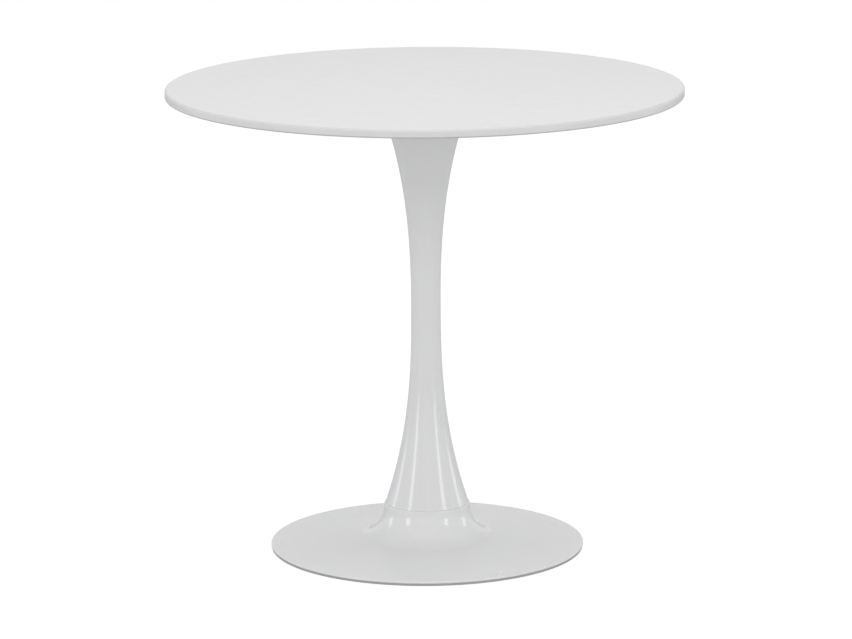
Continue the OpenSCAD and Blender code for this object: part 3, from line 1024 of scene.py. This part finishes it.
satin = Finish("plate_paint", IOR=1.5)
cloudy = satin.waves(0.07, detail=4.0)
tone = satin.mixed(cloudy, grey(0.69), grey(0.73, -0.004))
from_circle = satin.times(satin.distance_from_axis(), SCREW_CIRCLE, "SUBTRACT")
near_screws = satin.between(from_circle, -9 * MM, 9 * MM)
near_screws = satin.times(near_screws, satin.times(1.0, near_screws, "SUBTRACT"))
scratch = satin.waves(0.004, detail=4.0, rough=0.7, where=satin.stretched((1.0, 0.15, 1.0)), warp=1.2)
edge_shade_and_rub_wear = satin.times(satin.times(near_screws, 4.0), satin.between(scratch, 0.56, 0.7))
tone = satin.mixed(satin.times(edge_shade_and_rub_wear, 0.45), tone, grey(0.45))
polish = satin.between(cloudy, 0.3, 0.7, 0.30, 0.40)
polish = satin.times(polish, satin.times(edge_shade_and_rub_wear, 0.12), "ADD")
peel = satin.relief(satin.waves(0.0028, detail=2.0), 2.2e-5)
plate_paint = satin.close(tone, polish, peel)

# %% [markdown]
# ## Zinc on the fixings
# Rod, nut, washers and screws are zinc plated: a cool, bright metal with fine crystals and dull clouds,
# darker in patches where fingers have been. Voronoi cells, each with its own grey, give the crystals.

# %% Zinc
zinc = Finish("zinc_plating", Metallic=1.0)
crystals = zinc.add("TexVoronoi", {"Vector": zinc.place, "Scale": 1 / 0.0012})["Color"]
crystal = zinc.add("SeparateXYZ", {0: crystals})["X"]
clouds = zinc.waves(0.008, detail=4.0, rough=0.6)
metal = zinc.mixed(crystal, grey(0.56, -0.015), grey(0.68, -0.01))
metal = zinc.mixed(zinc.between(clouds, 0.45, 0.75, 0.0, 0.6), metal, grey(0.42, 0.01))
matt = zinc.between(clouds, 0.25, 0.75, 0.24, 0.44)
matt = zinc.times(matt, zinc.times(crystal, 0.08), "ADD")
drawn = zinc.waves(0.0006, detail=3.0, where=zinc.stretched((1.0, 1.0, 0.2)))
tool_marks = zinc.relief(drawn, 4e-6)
zinc_plating = zinc.close(metal, matt, tool_marks)

# %% [markdown]
# ## Rubber of the ring
# The ring is a pale grey rubber, matt, with a fine moulded grain. Floor dust sits in the lowest part.

# %% Rubber
rubber = Finish("ring_rubber", IOR=1.5)
grain = rubber.waves(0.0009, detail=3.0, rough=0.65)
mottle = rubber.waves(0.02, detail=3.0)
stain = rubber.mixed(mottle, grey(0.38), grey(0.45))
dust = rubber.between(rubber.height(), ring_low, ring_low + 1.2 * MM, 0.5, 0.0)
dust = rubber.times(dust, rubber.patches(0.011, 0.4, 0.7, detail=4.0))
stain = rubber.mixed(dust, stain, grey(0.55, 0.02))
ring_matt = rubber.between(mottle, 0.3, 0.7, 0.68, 0.84)
ring_rubber = rubber.close(stain, ring_matt, rubber.relief(grain, 3e-5))

# %% [markdown]
# ## Dressing the pieces
# Each piece was given a slot of the record when it was made, so one table from slot to finish dresses
# them all, and a repaint of a slot reaches every piece on it.

# %% Finishes on their pieces
FINISH_OF_SLOT = {
    "board_lacquer": board_lacquer,
    "column_paint": column_paint,
    "foot_paint": foot_paint,
    "foot_inner_paint": inner_paint,
    "plate_paint": plate_paint,
    "zinc_fixings": zinc_plating,
    "floor_rubber": ring_rubber,
}
for slot_name, made in pieces_of_slot.items():
    for each in made:
        each.data.materials.clear()
        each.data.materials.append(FINISH_OF_SLOT[slot_name])
    print(f"{slot_name}: {len(made)} pieces")

# %% [markdown]
# ## The floor
# The floor is a wide pale sweep. A studio lights such a sweep until the picture shows it white, while
# the table is lit by much less than that from below. So the floor has two shares: what the table gets
# from it is a plain pale diffuse, and what the eye gets is lifted to white, with enough diffuse left to
# darken a little where the rim meets it. Seen from below it lets the eye through, so the underside can
# be looked at, while light from above still meets it.

# %% Floor
FLOOR_RADIUS = 60.0
FLOOR_SEEN = (0.30, 0.80)       # diffuse and glow that the eye meets
FLOOR_GIVEN = (0.55, 0.08)      # diffuse and glow that light the table
FLOOR_DROP = 0.1 * MM           # keeps the sole of the ring clear of it

a = angles(96)
rings = np.array([0.1, 0.3, 0.6, 1.2, 3, 8, 20, FLOOR_RADIUS])[:, None]
floor_points = np.stack([rings * np.cos(a), rings * np.sin(a), 0 * rings * a - FLOOR_DROP], axis=-1)
number = np.arange(floor_points[..., 0].size).reshape(floor_points.shape[:2])
floor = solid("studio_floor", (floor_points.reshape(-1, 3), [woven(number)[:, ::-1], number[:1]]))

sweep_material = bpy.data.materials.new("studio_sweep")
sweep_material.use_nodes = True
sweep_tree = sweep_material.node_tree
sweep_tree.nodes.clear()


def pale(diffuse, glow):
    """A diffuse and a glow added together."""
    matt = add_node(sweep_tree, "BsdfDiffuse", {"Color": grey(diffuse)})[0]
    light = add_node(sweep_tree, "Emission", {"Strength": glow})[0]
    return add_node(sweep_tree, "AddShader", {0: matt, 1: light})[0]


seen = add_node(sweep_tree, "LightPath")["Is Camera Ray"]
from_below = add_node(sweep_tree, "NewGeometry")["Backfacing"]
clear = add_node(sweep_tree, "BsdfTransparent")[0]
surface = add_node(sweep_tree, "MixShader", {0: seen, 1: pale(*FLOOR_GIVEN), 2: pale(*FLOOR_SEEN)})[0]
surface = add_node(sweep_tree, "MixShader", {0: from_below, 1: surface, 2: clear})[0]
add_node(sweep_tree, "OutputMaterial", {"Surface": surface})
floor.data.materials.append(sweep_material)
print(f"floor {2 * FLOOR_RADIUS:.0f} m across, {len(floor.data.polygons)} faces")

# %% [markdown]
# ## The light
# White paint needs soft light from all round, and a few brighter shapes for the gloss to show. The room
# is white overhead and greyer at the horizon, and four upright softboxes stand round the table in pairs,
# low enough to be mirrored in the flare of the column and the collar of the foot. A key light over the
# camera reaches under the board and brightens the lower column. It is cut out of reflections, as a
# polarizing filter does. One more lamp hangs over the board, and a weak one lies under the foot, so that
# the ribs can be made out from below. The eye sees the room as white and doesn't see the lamps.

# %% The room
# Brightness by the sine of the angle above the horizon
ROOM_BRIGHTNESS = {0.0: 0.82, 0.06: 0.92, 0.20: 0.92, 0.35: 0.78, 0.55: 0.64, 0.80: 0.66, 1.0: 0.70}

world = bpy.data.worlds.new("studio")
bpy.context.scene.world = world
world.use_nodes = True
room = world.node_tree

direction = add_node(room, "TexCoord")["Generated"]
upwards = add_node(room, "SeparateXYZ", {0: direction})["Z"]
given = add_node(room, "ValToRGB", {0: upwards})
ramp = given["Color"].node.color_ramp
ramp.interpolation = "B_SPLINE"
while len(ramp.elements) < len(ROOM_BRIGHTNESS):
    ramp.elements.new(0.5)
for stop, (position, value) in zip(ramp.elements, sorted(ROOM_BRIGHTNESS.items())):
    stop.position = position
    stop.color = grey(value)
eye = add_node(room, "LightPath")["Is Camera Ray"]
colour = add_node(room, "Mix", {0: eye, 6: given["Color"], 7: grey(1.0)}, data_type="RGBA")[2]
feed(room.nodes["Background"], "Color", colour)

# %% The softboxes
def softbox(name, width, height, brightness, place, colour=(1.0, 1.0, 1.0)):
    """Softbox with its middle and direction given by a matrix. The lamp's power is brightness x pi x
    area, which gives it that brightness all over."""
    lamp = bpy.data.lights.new(name, "AREA")
    lamp.shape = "RECTANGLE"
    lamp.size, lamp.size_y = width, height
    lamp.energy = brightness * math.pi * width * height
    lamp.color = colour
    holder = bpy.data.objects.new(name, lamp)
    holder.matrix_world = place
    holder.visible_camera = False
    bpy.context.collection.objects.link(holder)
    return holder


def upright(name, azimuth, distance, width, low, high, brightness, colour=(1.0, 1.0, 1.0)):
    """Upright softbox between two heights that faces the table's axis. The azimuth is in degrees from
    the camera's side."""
    turn_angle = math.radians(azimuth)
    out = Vector((math.sin(turn_angle), -math.cos(turn_angle), 0))
    place = Matrix.Translation(out * distance + Vector((0, 0, (low + high) / 2)))
    place = place @ (-out).to_track_quat("-Z", "Y").to_matrix().to_4x4()
    return softbox(name, width, high - low, brightness, place, colour)


WHITE = (1.0, 1.0, 1.0)
COOL = (0.82, 0.88, 1.0)
# Azimuth on either side, width, top, brightness and colour of the softboxes that show as highlights
STRIPS = {"near": (50, 0.46, 1.08, 3.7, WHITE), "far": (106, 0.50, 1.00, 2.6, COOL)}
STRIP_DISTANCE = 2.6    # from the axis
STRIP_FOOT = 0.12       # height of their lower edges
for strip_name, (azimuth, width, top, brightness, colour) in STRIPS.items():
    for side_name, sign in (("left", -1), ("right", 1)):
        name = f"{strip_name}_strip_{side_name}"
        upright(name, sign * azimuth, STRIP_DISTANCE, width, STRIP_FOOT, top, brightness, colour)
key = upright("key", 0, 3.0, 1.6, 1.66, 2.72, 2.9)
key.visible_glossy = False
softbox("overhead", 2.0, 2.0, 1.85, Matrix.Translation((0, -0.6, 3.2)))
looking_up = Matrix.Translation((0, 0, 1 * MM)) @ Matrix.Rotation(math.pi, 4, "X")
underglow = softbox("underglow", 0.46, 0.46, 0.22, looking_up)
underglow.data.shape = "DISK"
bpy.context.scene.view_settings.view_transform = "Standard"
